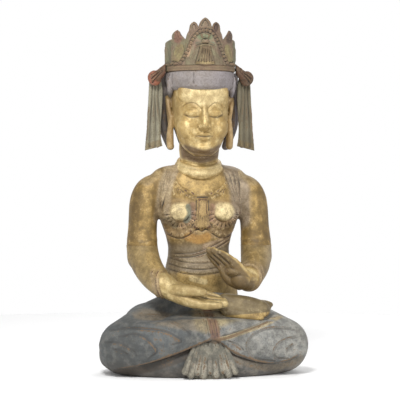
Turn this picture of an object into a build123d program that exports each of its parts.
"""A crowned figure seated with folded legs, carved in wood and put together from joined blocks.

Millimetres, +Z up. The figure faces -Y, and its own right hand is on the -X side. The origin is
the middle of the footprint, on the surface that the figure stands on.

The trunk stands upright, the folded legs are a horizontal block in front of it with a wedge at
each hip, and the arms, hands, head, crown and hanging ribbons are carved apart and pegged on.
"""

import os

from build123d import *

os.makedirs("parts", exist_ok=True)

# Driving dimensions
height = 800  # floor to the crown's tip
lap_top = 186  # level where the waist rises out of the thighs
lap_joint_y = 10  # glue plane between the trunk and the folded legs
hip_joint_x = 95  # glue planes between the trunk and the hip wedges
shoulder_joint_x = 92  # glue planes between the trunk and the arms
elbow_joint_z = 288  # glue planes between the upper arms and the forearms
neck_base = 462  # top of the shoulders, where the neck stands
head_centre_y = 24  # middle of the skull and of the crown
crown_seat = 682  # top of the hair roll, where the crown sits
head_top = 712  # flat top of the skull, under the topknot
board_thickness = 12
glue_gap = 0.1  # radial clearance round every glued dowel
slip_gap = 0.06  # radial clearance round a tenon that pulls out
panel_gap = 0.3  # clearance between carved pieces that don't touch
end_gap = 1.0  # spare depth past a dowel's end, and spare height over the crown's tip

# Plan of the folded legs at each level: height, half width at the knees, then the Y of the hollow
# between the shins, the shins, the knees' front, the knees' sides, and the back.
seat_levels = [
    (0, 190, -116, -118, -100, -40, 134),
    (27, 226, -130, -136, -118, -48, 146),
    (58, 238, -138, -148, -126, -50, 150),
    (85, 228, -136, -147, -122, -46, 148),
    (108, 212, -122, -140, -116, -42, 142),
    (130, 188, -88, -122, -104, -34, 134),
    (150, 165, -44, -98, -86, -26, 124),
    (170, 138, -14, -68, -62, -14, 114),
    (lap_top, 116, -2, -46, -44, -4, 108),
]

# Trunk above the lap: height, half width, half depth, Y of the middle.
trunk_levels = [
    (lap_top, 90, 62, 48),
    (225, 78, 60, 47),
    (262, 70, 56, 46),
    (300, 72, 56, 45),
    (340, 84, 60, 44),
    (375, 98, 63, 43),
    (410, 112, 60, 44),
    (437, 104, 50, 46),
    (453, 72, 44, 46),
    (neck_base, 56, 42, 44),
]

# Head from the chin up: height, half width, half depth, Y of the middle.
head_levels = [
    (497, 24, 22, -20),
    (508, 38, 40, -6),
    (530, 50, 57, 8),
    (560, 58, 67, 16),
    (600, 62, 74, 20),
    (645, 65, 77, 23),
    (crown_seat, 66, 78, head_centre_y),
    (702, 58, 68, head_centre_y + 2),
    (head_top, 42, 50, head_centre_y + 3),
]

# Upper arm from the elbow up: height, distance from the middle, Y, half width, half depth.
upper_arm_levels = [
    (elbow_joint_z, 131, 36, 34, 36),
    (325, 129, 39, 32, 36),
    (361, 126, 42, 31, 37),
    (400, 119, 44, 34, 38),
    (428, 110, 45, 33, 36),
    (446, 102, 46, 26, 28),
    (457, 94, 46, 12, 14),
]

# Hollows in the trunk
chamber_half_width = 32
chamber_low, chamber_high = 200, 325
chamber_front_y = 36
cover_lip = 6  # ledge that the cover rests on, all round
cover_face_y = 88
hollow_half_width = 58
hollow_front_y = 42
hollow_back_y = 106
hollow_top = 140

# Base board, let into the underside of the trunk
board_half_width = 78
board_front_y = 28
board_back_y = 124
nail_radius = 1.5
nail_head_radius = 4
nail_length = 34
nail_spots = [(x, y) for x in (-68, 68) for y in (38, 76, 114)]

# Dowels: radius, and where each stands
shoulder_dowel_radius = 7
shoulder_spots = [(32, 398), (56, 420)]  # Y, Z
shoulder_dowel_in, shoulder_dowel_out = 62, 122
elbow_dowel_radius = 6
elbow_spot = (131, 36)
elbow_dowel_low, elbow_dowel_high = 266, 312
lap_dowel_radius = 9
lap_spots = [(-62, 62), (62, 62), (0, 112)]  # X, Z
lap_dowel_front, lap_dowel_back = -28, 36
hip_dowel_radius = 8
hip_spots = [(58, 58), (88, 106)]  # Y, Z
hip_dowel_in, hip_dowel_out = 64, 128
neck_centre_y = 40
neck_tenon_radius = 26
neck_tenon_low = 400
neck_pin_radius = 5
neck_pin_z = 425
neck_pin_length = 52
topknot_dowel_radius = 5
topknot_dowel_half = 22  # length in the head and in the topknot

# Front hem
hem_half_width = 60
hem_top_half_width = 26
hem_height = 74
hem_back_y = -128
hem_front_y = -150
hem_folds = 7
hem_peg_radius = 4
hem_peg_front, hem_peg_back = -142, -108
hem_peg_spots = [(-18, 22), (18, 22)]  # X, Z

# Right foot, lying sole up on the left thigh
foot_half_length, foot_half_width, foot_thickness = 52, 22, 24
foot_plane = Plane(origin=(97, -70, 157), x_dir=(1, -0.1, -0.28), z_dir=(0.27, -0.22, 0.93))
foot_peg_radius = 4
foot_peg_length = 30

# Crown
crown_a, crown_b = 80, 88  # half width and half depth outside
crown_wall = 8
band_height = 12
front_leaf_half_width = 42
crown_peg_radius = 2.4
crown_peg_half = 8  # length in the band and in the leaf
front_peg_x, side_peg_x = 25, 62

# Side bows and ribbons
bow_radius, bow_stem_radius = 14, 8
bow_start, bow_end = (82, 12, 690), (106, 8, 671)
bow_inner_x = 81  # flat face that meets the crown
ribbon_plane_y = 20  # front face of the ribbons
ribbon_thickness = 10
bow_peg_radius = 3
bow_peg_length = 20
band_peg_start = (74, 12, 688)
ribbon_peg_start = (106, 8, 660)

# Wrists: where each hand meets its forearm, and the way that it pulls off
wrist_tenon_radius = 9
wrist_tenon_length = 20
bracelet_radius = 25
bracelet_length = 7
right_wrist, right_pull = (-94, -64, 213), (0.85, -0.5, 0.15)
left_wrist, left_pull = (98, -58, 226), (-0.42, -0.91, 0)


def write(piece, name):
    """Labels a finished piece and writes its STEP file."""
    piece.label = name
    export_step(piece, f"parts/{name}.step")


def lap_outline(half_width, hollow, shins, knees, sides, back):
    """Plan points of the folded legs at one level, once round from the hollow between the shins."""
    right = [
        (0.42 * half_width, shins),
        (0.82 * half_width, knees),
        (half_width, sides),
        (0.80 * half_width, sides + 0.52 * (back - sides)),
        (0.42 * half_width, back - 9),
    ]
    return [(0, hollow), *right, (0, back), *[(-x, y) for x, y in reversed(right)]]


# ---------------------------------------------------------------- carved masses, cut into blocks
with BuildPart() as seat:
    for level, *plan in seat_levels:
        with BuildSketch(Plane.XY.offset(level)):
            with BuildLine():
                Spline(*lap_outline(*plan), periodic=True)
            make_face()
    loft()

with BuildPart() as trunk:
    for level, half_width, half_depth, middle in trunk_levels:
        with BuildSketch(Plane.XY.offset(level)):
            with Locations((0, middle)):
                Ellipse(half_width, half_depth)
    loft()
    with Locations((0, 0, height / 2)):
        Box(2 * shoulder_joint_x, height, height, mode=Mode.INTERSECT)

with BuildPart() as crown_tube:
    with BuildSketch(Plane.XY.offset(crown_seat)):
        with Locations((0, head_centre_y)):
            Ellipse(crown_a, crown_b)
            Ellipse(crown_a - crown_wall, crown_b - crown_wall, mode=Mode.SUBTRACT)
    extrude(amount=height - crown_seat + end_gap)


# ---------------------------------------------------------------- dowels, pegs and nails
def rods(lines, radius, length, gap=0.0):
    """Round rods, one for each (start, direction) pair; with a gap, the holes for them."""
    with BuildPart() as made:
        for start, direction in lines:
            end_plane = Plane(origin=start, z_dir=direction).offset(-end_gap if gap else 0)
            with BuildSketch(end_plane):
                Circle(radius + gap)
            extrude(amount=length + (2 * end_gap if gap else 0))
    return made.part


def shoulder_dowels(gap=0.0):
    """Two dowels through each shoulder's glue plane."""
    lines = [
        ((side * shoulder_dowel_in, y, z), (side, 0, 0))
        for side in (-1, 1) for y, z in shoulder_spots
    ]
    return rods(lines, shoulder_dowel_radius, shoulder_dowel_out - shoulder_dowel_in, gap)


def elbow_dowels(gap=0.0):
    """One upright dowel in each elbow."""
    x, y = elbow_spot
    lines = [((side * x, y, elbow_dowel_low), (0, 0, 1)) for side in (-1, 1)]
    return rods(lines, elbow_dowel_radius, elbow_dowel_high - elbow_dowel_low, gap)


def lap_dowels(gap=0.0):
    """Three level dowels between the trunk and the folded legs."""
    lines = [((x, lap_dowel_front, z), (0, 1, 0)) for x, z in lap_spots]
    return rods(lines, lap_dowel_radius, lap_dowel_back - lap_dowel_front, gap)


def hip_dowels(gap=0.0):
    """Two level dowels between the trunk and each hip wedge."""
    lines = [
        ((side * hip_dowel_in, y, z), (side, 0, 0)) for side in (-1, 1) for y, z in hip_spots
    ]
    return rods(lines, hip_dowel_radius, hip_dowel_out - hip_dowel_in, gap)


def hem_pegs(gap=0.0):
    """Two pegs behind the front hem."""
    lines = [((x, hem_peg_front, z), (0, 1, 0)) for x, z in hem_peg_spots]
    return rods(lines, hem_peg_radius, hem_peg_back - hem_peg_front, gap)


def foot_peg(gap=0.0):
    """The peg under the foot, half in the thigh."""
    start = foot_plane.offset(-foot_peg_length / 2).origin
    return rods([(start, foot_plane.z_dir)], foot_peg_radius, foot_peg_length, gap)


def neck_pin(gap=0.0):
    """The pin that locks the neck's tenon, driven in from the back."""
    lines = [((0, neck_centre_y, neck_pin_z), (0, 1, 0))]
    return rods(lines, neck_pin_radius, neck_pin_length, gap)


def topknot_dowel(gap=0.0):
    """The dowel in the middle of the topknot."""
    lines = [((0, head_centre_y, head_top - topknot_dowel_half), (0, 0, 1))]
    return rods(lines, topknot_dowel_radius, 2 * topknot_dowel_half, gap)


def crown_pegs(gap=0.0):
    """Upright pegs between the band and the leaves, midway in the wall."""
    a, b = crown_a - crown_wall / 2, crown_b - crown_wall / 2
    start_z = crown_seat + band_height - crown_peg_half
    lines = []
    for x in (-side_peg_x, -front_peg_x, front_peg_x, side_peg_x):
        for face in (-1, 1):
            y = head_centre_y + face * b * (1 - (x / a) ** 2) ** 0.5
            lines.append(((x, y, start_z), (0, 0, 1)))
    return rods(lines, crown_peg_radius, 2 * crown_peg_half, gap)


def bow_pegs(gap=0.0):
    """Level pegs, on each side one from the band into the bow and one from the bow into the ribbon."""
    x, y, z = band_peg_start
    lines = [((side * x, y, z), (side, 0, 0)) for side in (-1, 1)]
    x, y, z = ribbon_peg_start
    lines += [((side * x, y, z), (0, 1, 0)) for side in (-1, 1)]
    return rods(lines, bow_peg_radius, bow_peg_length, gap)


def base_nails(gap=0.0):
    """Countersunk nails through the base board."""
    with BuildPart() as made:
        for x, y in nail_spots:
            with BuildSketch(Plane((x, y, 0))):
                Circle(nail_head_radius + gap)
            with BuildSketch(Plane((x, y, 3))):
                Circle(nail_radius + gap)
            loft()
            with BuildSketch(Plane((x, y, 3))):
                Circle(nail_radius + gap)
            extrude(amount=nail_length - 3 + (end_gap if gap else 0))
    return made.part


# ---------------------------------------------------------------- trunk and its hollows
with BuildPart() as torso_block:
    add(seat.part)
    with Locations((0, lap_joint_y, 0)):
        Box(
            2 * hip_joint_x, 400, lap_top,
            align=(Align.CENTER, Align.MIN, Align.MIN), mode=Mode.INTERSECT,
        )
    add(trunk.part)
    # Hollow from below, closed by the base board in its rebate
    with Locations((0, hollow_front_y, 0)):
        Box(
            2 * hollow_half_width, hollow_back_y - hollow_front_y, hollow_top,
            align=(Align.CENTER, Align.MIN, Align.MIN), mode=Mode.SUBTRACT,
        )
    with Locations((0, board_front_y, 0)):
        Box(
            2 * board_half_width, board_back_y - board_front_y, board_thickness,
            align=(Align.CENTER, Align.MIN, Align.MIN), mode=Mode.SUBTRACT,
        )
    # Chamber from the back, with a ledge for its cover
    with Locations((0, chamber_front_y, chamber_low)):
        Box(
            2 * chamber_half_width, 200, chamber_high - chamber_low,
            align=(Align.CENTER, Align.MIN, Align.MIN), mode=Mode.SUBTRACT,
        )
    with Locations((0, cover_face_y, chamber_low - cover_lip)):
        Box(
            2 * (chamber_half_width + cover_lip), 200, chamber_high - chamber_low + 2 * cover_lip,
            align=(Align.CENTER, Align.MIN, Align.MIN), mode=Mode.SUBTRACT,
        )
    # Neck socket
    with Locations((0, neck_centre_y, neck_tenon_low - end_gap)):
        Cylinder(
            neck_tenon_radius + glue_gap, 200,
            align=(Align.CENTER, Align.CENTER, Align.MIN), mode=Mode.SUBTRACT,
        )
    for holes in (shoulder_dowels, lap_dowels, hip_dowels, neck_pin, base_nails):
        add(holes(glue_gap), mode=Mode.SUBTRACT)

with BuildPart() as back_cover:
    add(trunk.part)
    with Locations((0, cover_face_y, chamber_low - cover_lip + panel_gap)):
        Box(
            2 * (chamber_half_width + cover_lip - panel_gap), 200,
            chamber_high - chamber_low + 2 * (cover_lip - panel_gap),
            align=(Align.CENTER, Align.MIN, Align.MIN), mode=Mode.INTERSECT,
        )

with BuildPart() as base_board:
    with Locations((0, board_front_y + panel_gap, 0)):
        Box(
            2 * (board_half_width - panel_gap), board_back_y - board_front_y - 2 * panel_gap,
            board_thickness, align=(Align.CENTER, Align.MIN, Align.MIN),
        )
    add(base_nails(glue_gap), mode=Mode.SUBTRACT)


# ---------------------------------------------------------------- folded legs, hem and foot
with BuildPart() as hem_recess:
    with BuildSketch(Plane.XZ.offset(-hem_back_y)):
        with BuildLine():
            Polyline(
                (-hem_half_width - panel_gap, 0), (-hem_top_half_width - panel_gap, hem_height),
                (hem_top_half_width + panel_gap, hem_height), (hem_half_width + panel_gap, 0),
                close=True,
            )
        make_face()
    extrude(amount=60)

with BuildPart() as foot_seat:
    with BuildSketch(foot_plane):
        Ellipse(foot_half_length + panel_gap, foot_half_width + panel_gap)
    extrude(amount=60)

with BuildPart() as lap_block:
    add(seat.part)
    with Locations((0, lap_joint_y, 0)):
        Box(
            600, 400, 400,
            align=(Align.CENTER, Align.MIN, Align.MIN), mode=Mode.SUBTRACT,
        )
    add(hem_recess.part, mode=Mode.SUBTRACT)
    add(foot_seat.part, mode=Mode.SUBTRACT)
    for holes in (lap_dowels, hem_pegs, foot_peg):
        add(holes(glue_gap), mode=Mode.SUBTRACT)


def hip_block(side):
    """Wedge that fills a hip, outside the trunk and behind the legs."""
    with BuildPart() as made:
        add(seat.part)
        with Locations((side * hip_joint_x, lap_joint_y, 0)):
            Box(
                300, 400, 400,
                align=(Align.MIN if side > 0 else Align.MAX, Align.MIN, Align.MIN),
                mode=Mode.INTERSECT,
            )
        add(hip_dowels(glue_gap), mode=Mode.SUBTRACT)
    return made.part


with BuildPart() as drape_fan:
    pitch = 2 * hem_half_width / hem_folds
    with BuildSketch():
        with BuildLine():
            crests = []
            for fold in range(hem_folds):
                left = -hem_half_width + fold * pitch
                crests += [(left + 0.25 * pitch, hem_front_y), (left + 0.75 * pitch, hem_front_y)]
                crests += [(left + pitch, hem_front_y + 6)]
            Polyline(
                (-hem_half_width, hem_back_y), (-hem_half_width, hem_front_y + 6), *crests,
                (hem_half_width, hem_back_y), close=True,
            )
        make_face()
    extrude(amount=hem_height - panel_gap)
    with BuildSketch(Plane.XZ.offset(-hem_back_y)):
        with BuildLine():
            Polyline(
                (-hem_half_width, 0), (-hem_top_half_width, hem_height),
                (hem_top_half_width, hem_height), (hem_half_width, 0), close=True,
            )
        make_face()
    extrude(amount=60, mode=Mode.INTERSECT)
    add(hem_pegs(glue_gap), mode=Mode.SUBTRACT)

with BuildPart() as right_foot:
    for share, trim in ((0, 0), (0.6, 3), (1, 12)):
        with BuildSketch(foot_plane.offset(share * foot_thickness)):
            Ellipse(foot_half_length - trim, foot_half_width - trim)
    loft()
    add(foot_peg(glue_gap), mode=Mode.SUBTRACT)


# ---------------------------------------------------------------- arms
def upper_arm(side):
    """Upper arm with its shoulder, cut flat at the trunk and at the elbow."""
    with BuildPart() as made:
        for level, out, y, half_width, half_depth in upper_arm_levels:
            with BuildSketch(Plane.XY.offset(level)):
                with Locations((side * out, y)):
                    Ellipse(half_width, half_depth)
        loft()
        with Locations((side * (shoulder_joint_x + 150), 0, height / 2)):
            Box(300, height, height, mode=Mode.INTERSECT)
        add(shoulder_dowels(glue_gap), mode=Mode.SUBTRACT)
        add(elbow_dowels(glue_gap), mode=Mode.SUBTRACT)
    return made.part


def forearm(side, wrist, pull):
    """Elbow and forearm down to the wrist, with a bracelet and the socket for the hand's tenon."""
    wrist_x, wrist_y, wrist_z = wrist
    sections = [
        ((side * 131, 36, elbow_joint_z), (0, 0, -1), 34, 36),
        ((side * 130, 24, 262), (-0.1 * side, -0.55, -0.83), 32, 33),
        ((side * 121, -6, 0.45 * 262 + 0.55 * wrist_z), (-0.3 * side, -0.85, -0.4), 28, 27),
        ((side * 110, -34, 0.15 * 262 + 0.85 * wrist_z), (-0.45 * side, -0.85, -0.25), 24, 23),
        (wrist, pull, 21, 20),
    ]
    with BuildPart() as made:
        for origin, z_dir, half_width, half_depth in sections:
            with BuildSketch(Plane(origin=origin, x_dir=(1, 0, 0), z_dir=z_dir)):
                Ellipse(half_width, half_depth)
        loft()
        wrist_plane = Plane(origin=wrist, z_dir=pull)
        with BuildSketch(wrist_plane):
            Circle(bracelet_radius)
        extrude(amount=-bracelet_length)
        with BuildSketch(wrist_plane):
            Circle(wrist_tenon_radius + slip_gap)
        extrude(amount=-wrist_tenon_length - end_gap, mode=Mode.SUBTRACT)
        add(elbow_dowels(glue_gap), mode=Mode.SUBTRACT)
    return made.part


def hand(wrist, pull, fingers, palm, thumb_side):
    """Open hand on its wrist tenon. fingers is where they point, palm is the palm's normal."""
    wrist_plane = Plane(origin=wrist, z_dir=pull)
    hand_plane = Plane(origin=Vector(*wrist) + Vector(*pull) * 6, x_dir=fingers, z_dir=palm)
    with BuildPart() as made:
        with BuildSketch(hand_plane.offset(-9)):
            with Locations((38, 0)):
                Ellipse(36, 26)
            for row, reach in enumerate((62, 70, 66, 54)):
                with Locations(Location((58 + reach / 2, 19.5 - 13 * row), 3 * (1.5 - row))):
                    SlotOverall(reach, 13.5)
        extrude(amount=17)
        with BuildSketch(hand_plane.offset(-4)):
            with Locations(Location((50, thumb_side * 20), -12 * thumb_side)):
                SlotOverall(58, 15)
        extrude(amount=20)
        with BuildSketch(wrist_plane):
            Circle(19)
        extrude(amount=16)
        split(bisect_by=wrist_plane, keep=Keep.TOP)
        with BuildSketch(wrist_plane):
            Circle(wrist_tenon_radius)
        extrude(amount=-wrist_tenon_length)
    return made.part


# ---------------------------------------------------------------- head
with BuildPart() as head_block:
    for level, half_width, half_depth, middle in head_levels:
        with BuildSketch(Plane.XY.offset(level)):
            with Locations((0, middle)):
                Ellipse(half_width, half_depth)
    loft()
    # Neck and its tenon
    with BuildSketch(Plane.XY.offset(neck_base)):
        with Locations((0, neck_centre_y)):
            Circle(39)
    with BuildSketch(Plane.XY.offset(545)):
        with Locations((0, 34)):
            Circle(41)
    loft()
    with BuildSketch(Plane.XY.offset(neck_tenon_low)):
        with Locations((0, neck_centre_y)):
            Circle(neck_tenon_radius)
    extrude(amount=neck_base - neck_tenon_low)
    # Hair roll across the brow
    with BuildSketch(Plane.XY.offset(646)):
        with Locations((0, head_centre_y)):
            Ellipse(76, 85)
    with BuildSketch(Plane.XY.offset(664)):
        with Locations((0, head_centre_y)):
            Ellipse(79, 88)
    with BuildSketch(Plane.XY.offset(crown_seat)):
        with Locations((0, head_centre_y)):
            Ellipse(77, 86)
    loft()
    # Long ears
    for side in (-1, 1):
        with BuildSketch(Plane.YZ.offset(side * 56)):
            with Locations(Location((28, 572), 90)):
                SlotOverall(128, 28)
        extrude(amount=side * 17)
    # Nose
    with BuildSketch(Plane.YZ.offset(-7)):
        with BuildLine():
            Polyline((-20, 606), (-55, 604), (-69, 566), (-20, 560), close=True)
        make_face()
    extrude(amount=14)
    for holes in (neck_pin, topknot_dowel):
        add(holes(glue_gap), mode=Mode.SUBTRACT)

with BuildPart() as neck_collar:
    with BuildSketch(Plane.XY.offset(neck_base)):
        with Locations((0, neck_centre_y)):
            Circle(48)
            Circle(41.5, mode=Mode.SUBTRACT)
    extrude(amount=20)
    fillet(neck_collar.edges().filter_by(GeomType.CIRCLE), radius=2.5)

with BuildPart() as topknot:
    with BuildSketch(Plane.XZ.offset(-head_centre_y)):
        with BuildLine():
            Line((0, head_top), (24, head_top))
            Spline((24, head_top), (33, head_top + 18), (24, head_top + 44), (0, head_top + 56))
            Line((0, head_top + 56), (0, head_top))
        make_face()
    revolve(axis=Axis((0, head_centre_y, 0), (0, 0, 1)))
    add(topknot_dowel(glue_gap), mode=Mode.SUBTRACT)


# ---------------------------------------------------------------- crown, bows and ribbons
with BuildPart() as crown_band:
    add(crown_tube.part)
    with Locations((0, 0, crown_seat)):
        Box(
            300, 400, band_height,
            align=(Align.CENTER, Align.CENTER, Align.MIN), mode=Mode.INTERSECT,
        )
    for holes in (crown_pegs, bow_pegs):
        add(holes(glue_gap), mode=Mode.SUBTRACT)


front_half_y = head_centre_y - panel_gap / 2  # where the front leaves end
rear_half_y = head_centre_y + panel_gap / 2  # where the rear leaves begin
leaf_seat = crown_seat + band_height

with BuildPart() as crown_front_leaf:
    add(crown_tube.part)
    with BuildSketch(Plane.XZ.offset(-front_half_y)):
        with BuildLine():
            Polyline(
                (0, leaf_seat), (-front_leaf_half_width, leaf_seat), (-front_leaf_half_width, 752),
                (-39, 764), (-35, 771), (-33, 783), (-25, 790), (-19, 787), (-16, 778), (-10, 791),
                (0, height),
            )
            mirror(about=Plane.YZ)
        make_face()
    extrude(amount=150, mode=Mode.INTERSECT)
    add(crown_pegs(glue_gap), mode=Mode.SUBTRACT)


def crown_side_leaf(side):
    """Leaf beside the front one, with a bud at its peak and a lower lobe at its outer edge."""
    inner = front_leaf_half_width + panel_gap
    with BuildPart() as made:
        add(crown_tube.part)
        with BuildSketch(Plane.XZ.offset(-front_half_y)):
            with BuildLine():
                Line((side * inner, leaf_seat), (side * inner, 752))
                ThreePointArc((side * inner, 752), (side * 52, 764), (side * 58, 774))
                ThreePointArc((side * 58, 774), (side * 66, 768), (side * 67, 754))
                ThreePointArc((side * 67, 754), (side * 75, 752), (side * 81, 744))
                Polyline((side * 81, 744), (side * 81, leaf_seat), (side * inner, leaf_seat))
            make_face()
        extrude(amount=150, mode=Mode.INTERSECT)
        add(crown_pegs(glue_gap), mode=Mode.SUBTRACT)
    return made.part


def crown_rear_leaf(side):
    """Plain low leaf that covers a quarter of the back."""
    inner = panel_gap / 2
    with BuildPart() as made:
        add(crown_tube.part)
        with BuildSketch(Plane.XZ.offset(-rear_half_y)):
            with BuildLine():
                Line((side * inner, leaf_seat), (side * inner, 736))
                ThreePointArc((side * inner, 736), (side * 22, 748), (side * 40, 738))
                ThreePointArc((side * 40, 738), (side * 62, 748), (side * 81, 738))
                Polyline((side * 81, 738), (side * 81, leaf_seat), (side * inner, leaf_seat))
            make_face()
        extrude(amount=-150, mode=Mode.INTERSECT)
        add(crown_pegs(glue_gap), mode=Mode.SUBTRACT)
    return made.part


def bow(side):
    """Ribbon bow beside the crown: a stem and a round loop, flat where they meet their neighbours."""
    x, y, z = bow_start
    loop_x, loop_y, loop_z = bow_end
    with BuildPart() as made:
        with BuildSketch(Plane(origin=(side * x, y, z), z_dir=(side * (loop_x - x), loop_y - y, loop_z - z))):
            Circle(bow_stem_radius)
        extrude(amount=loop_x - x, both=True)
        with Locations((side * loop_x, loop_y, loop_z)):
            Sphere(bow_radius)
        with Locations((side * (bow_inner_x + 50), ribbon_plane_y, loop_z)):
            Box(100, 100, 100, align=(Align.CENTER, Align.MAX, Align.CENTER), mode=Mode.INTERSECT)
        add(bow_pegs(glue_gap), mode=Mode.SUBTRACT)
    return made.part


def ribbon(side):
    """Hanging ribbon, a thin board that widens to a slanting end."""
    with BuildPart() as made:
        with BuildSketch(Plane.XZ.offset(-ribbon_plane_y)):
            with BuildLine():
                Line((side * 92, 674), (side * 114, 676))
                Spline((side * 114, 676), (side * 117, 640), (side * 120, 560), (side * 126, 504))
                Line((side * 126, 504), (side * 86, 514))
                Spline((side * 86, 514), (side * 90, 560), (side * 86, 640), (side * 92, 674))
            make_face()
        extrude(amount=-ribbon_thickness)
        add(bow_pegs(glue_gap), mode=Mode.SUBTRACT)
    return made.part


# ---------------------------------------------------------------- finished pieces
write(torso_block.part, "torso_block")
write(lap_block.part, "lap_block")
write(back_cover.part, "back_cover")
write(base_board.part, "base_board")
write(drape_fan.part, "drape_fan")
write(right_foot.part, "right_foot")
write(head_block.part, "head_block")
write(neck_collar.part, "neck_collar")
write(topknot.part, "topknot")
write(crown_band.part, "crown_band")
write(crown_front_leaf.part, "crown_front_leaf")
for side, name in ((-1, "right"), (1, "left")):
    write(hip_block(side), f"{name}_hip_block")
    write(upper_arm(side), f"{name}_upper_arm")
    write(crown_side_leaf(side), f"{name}_crown_side_leaf")
    write(crown_rear_leaf(side), f"{name}_crown_rear_leaf")
    write(bow(side), f"{name}_bow")
    write(ribbon(side), f"{name}_ribbon")
write(forearm(-1, right_wrist, right_pull), "right_forearm")
write(forearm(1, left_wrist, left_pull), "left_forearm")
write(hand(right_wrist, right_pull, (0.94, -0.22, -0.27), (0.22, -0.4, 0.88), 1), "right_hand")
write(hand(left_wrist, left_pull, (-0.75, -0.3, 0.59), (-0.62, -0.25, -0.74), 1), "left_hand")
write(shoulder_dowels(), "shoulder_dowels")
write(elbow_dowels(), "elbow_dowels")
write(lap_dowels(), "lap_dowels")
write(hip_dowels(), "hip_dowels")
write(hem_pegs(), "hem_pegs")
write(foot_peg(), "foot_peg")
write(neck_pin(), "neck_pin")
write(topknot_dowel(), "topknot_dowel")
write(crown_pegs(), "crown_pegs")
write(bow_pegs(), "bow_pegs")
write(base_nails(), "base_nails")
